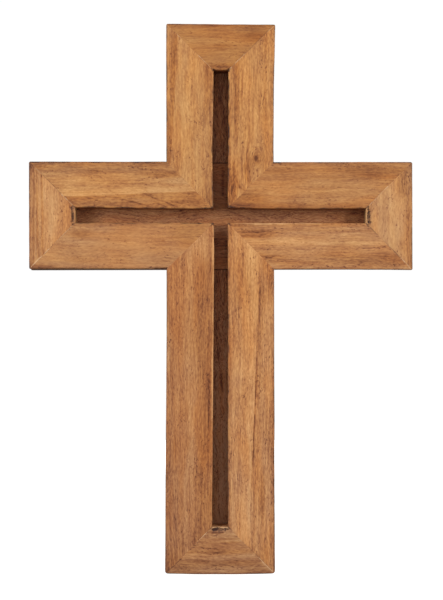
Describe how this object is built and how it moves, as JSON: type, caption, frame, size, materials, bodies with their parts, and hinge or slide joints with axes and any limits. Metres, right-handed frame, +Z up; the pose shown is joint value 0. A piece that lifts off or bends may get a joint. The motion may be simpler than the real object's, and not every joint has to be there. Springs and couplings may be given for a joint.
{
  "type": "wooden wall cross",
  "caption": "Wooden Latin cross for a wall: mitred face boards leave a deep narrow cross-shaped groove over a cross-lapped core with a keyhole hanger.",
  "frame": {"origin": "middle of the crossing, on the back face that lies against the wall", "axes": "+Z up along the upright, +Y out of the back into the wall, so the front faces -Y; +X to the right as the front is seen"},
  "size_m": [0.209, 0.02, 0.3],
  "materials": {
    "face_wood": "satin oiled hardwood, mid brown",
    "core_wood": "satin oiled hardwood, darker brown",
    "hanger_steel": "zinc plated, satin",
    "screw_steel": "zinc plated",
    "brad_steel": "plain drawn wire"
  },
  "bodies": {
    "root": {"core_upright": "core_wood", "core_crossbar": "core_wood", "upper_arm_left_board": "face_wood", "upper_arm_right_board": "face_wood", "upper_arm_end_board": "face_wood", "left_arm_top_board": "face_wood", "left_arm_bottom_board": "face_wood", "left_arm_end_board": "face_wood", "right_arm_top_board": "face_wood", "right_arm_bottom_board": "face_wood", "right_arm_end_board": "face_wood", "lower_arm_left_board": "face_wood", "lower_arm_right_board": "face_wood", "foot_board": "face_wood", "upper_arm_brads": "brad_steel", "left_arm_brads": "brad_steel", "right_arm_brads": "brad_steel", "lower_arm_brads": "brad_steel", "keyhole_hanger_plate": "hanger_steel", "hanger_screw_left": "screw_steel", "hanger_screw_right": "screw_steel"}
  },
  "joints": []
}
